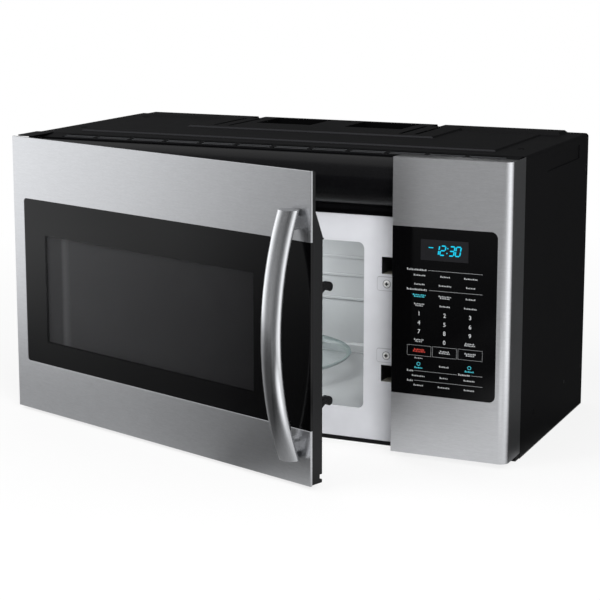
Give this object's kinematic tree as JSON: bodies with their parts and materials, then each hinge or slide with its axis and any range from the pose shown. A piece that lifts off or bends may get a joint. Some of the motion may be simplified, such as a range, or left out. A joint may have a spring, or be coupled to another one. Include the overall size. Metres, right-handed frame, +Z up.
{
  "type": "over-the-range microwave oven",
  "caption": "Over-the-range microwave oven and vent: left-hung door ajar, brushed steel and black glass front, bowed handle, touch panel, turntable and stamped black case.",
  "frame": {"origin": "centre of the base face, halfway across the width and halfway from the shut door's front to the wall", "axes": "+X to the right as seen from the front, +Y towards the wall, +Z up"},
  "size_m": [0.7652, 0.6068, 0.417],
  "materials": {
    "black_paint": "satin",
    "galvanised": "dull",
    "frame_enamel": "satin",
    "cavity_enamel": "satin",
    "steel_front": "brushed",
    "door_black_glass": "gloss",
    "keypad_black_glass": "gloss",
    "clear_glass": "gloss",
    "black_plastic": "satin",
    "pale_plastic": "satin",
    "switch_plastic": "satin",
    "mica": "dull",
    "charcoal": "dull",
    "filter_mesh": "mesh",
    "screen_black": "perforated",
    "circuit_green": "gloss",
    "zinc": "plated",
    "screw_white": "satin",
    "motor_steel": "satin",
    "transformer_varnish": "gloss",
    "lamp_white": "satin"
  },
  "bodies": {
    "oven": {"base_plate": "black_paint", "blower_housings": "galvanised", "blower_motor": "motor_steel", "capacitor": "motor_steel", "case_screws": "zinc", "cavity_floor": "cavity_enamel", "cavity_lamp": "lamp_white", "cavity_left_wall": "cavity_enamel", "cavity_rear_wall": "cavity_enamel", "cavity_right_wall": "cavity_enamel", "cavity_roof": "cavity_enamel", "charcoal_filter": "charcoal", "component_shelf": "galvanised", "control_board": "circuit_green", "control_chassis": "black_plastic", "control_trim": "steel_front", "cooktop_lamps": "lamp_white", "cord_gland": "black_plastic", "display_window": "keypad_black_glass", "fan_motor": "motor_steel", "fan_shroud": "pale_plastic", "frame_screws": "screw_white", "front_frame": "frame_enamel", "grease_filter_left": "filter_mesh", "grease_filter_right": "filter_mesh", "hinge_lower": "zinc", "hinge_upper": "zinc", "interlock_switches": "switch_plastic", "keypad_glass": "keypad_black_glass", "lamp_lenses": "clear_glass", "latch_board": "pale_plastic", "magnetron": "motor_steel", "outer_case": "black_paint", "rear_panel": "galvanised", "transformer": "transformer_varnish", "turntable_motor": "motor_steel", "vent_band": "black_plastic", "vent_louvre": "black_paint", "waveguide": "galvanised", "waveguide_cover": "mica"},
    "door": {"door_skin": "steel_front", "door_glass": "door_black_glass", "door_frame": "black_plastic", "window_screen": "screen_black", "choke_frame": "galvanised", "inner_window": "clear_glass", "choke_cover": "black_plastic", "handle_bar": "steel_front", "handle_posts": "black_plastic", "door_screws": "zinc", "latch_spring": "zinc"},
    "latch": {"latch_key": "black_plastic"},
    "turntable": {"drive_coupler": "pale_plastic", "glass_tray": "clear_glass"},
    "roller_carrier": {"roller_ring": "pale_plastic"},
    "roller_a": {"roller_1": "pale_plastic"},
    "roller_b": {"roller_2": "pale_plastic"},
    "roller_c": {"roller_3": "pale_plastic"},
    "vent_wheels": {"blower_wheels": "pale_plastic"},
    "cooling_fan": {"fan_blade": "pale_plastic"}
  },
  "joints": [
    {"name": "door_hinge", "type": "hinge", "parent": "oven", "child": "door", "pos_m": [-0.3675, -0.167, 0], "axis": [0, 0, -1], "range_deg": [-18.4, 81.6]},
    {"name": "latch_slide", "type": "slide", "parent": "door", "child": "latch", "axis": [0, 0, 1], "range_m": [0, 0.004], "stiffness_N_per_m": 300, "springref_m": -0.004, "deforming": ["latch_spring"]},
    {"name": "turntable_spin", "type": "hinge", "parent": "oven", "child": "turntable", "pos_m": [-0.098, 0.0182, 0.0545], "axis": [0, 0, 1], "continuous": true},
    {"name": "roller_carrier_spin", "type": "hinge", "parent": "oven", "child": "roller_carrier", "pos_m": [-0.098, 0.0182, 0.0545], "axis": [0, 0, 1], "continuous": true},
    {"name": "roller_a_spin", "type": "hinge", "parent": "roller_carrier", "child": "roller_a", "pos_m": [-0.098, 0.1117, 0.0545], "axis": [0, 1, 0], "continuous": true},
    {"name": "roller_b_spin", "type": "hinge", "parent": "roller_carrier", "child": "roller_b", "pos_m": [-0.17897, -0.02855, 0.0545], "axis": [-0.866, -0.5, 0], "continuous": true},
    {"name": "roller_c_spin", "type": "hinge", "parent": "roller_carrier", "child": "roller_c", "pos_m": [-0.01703, -0.02855, 0.0545], "axis": [0.866, -0.5, 0], "continuous": true},
    {"name": "vent_blower_spin", "type": "hinge", "parent": "oven", "child": "vent_wheels", "pos_m": [0, 0.13, 0.345], "axis": [1, 0, 0], "continuous": true},
    {"name": "cooling_fan_spin", "type": "hinge", "parent": "oven", "child": "cooling_fan", "pos_m": [0.26775, 0.162, 0.2], "axis": [0, 1, 0], "continuous": true}
  ],
  "couplings": [
    {"joint": "roller_carrier_spin", "follows": "turntable_spin", "ratio": 0.5},
    {"joint": "roller_a_spin", "follows": "turntable_spin", "ratio": -6.4931},
    {"joint": "roller_b_spin", "follows": "turntable_spin", "ratio": -6.4931},
    {"joint": "roller_c_spin", "follows": "turntable_spin", "ratio": -6.4931}
  ]
}
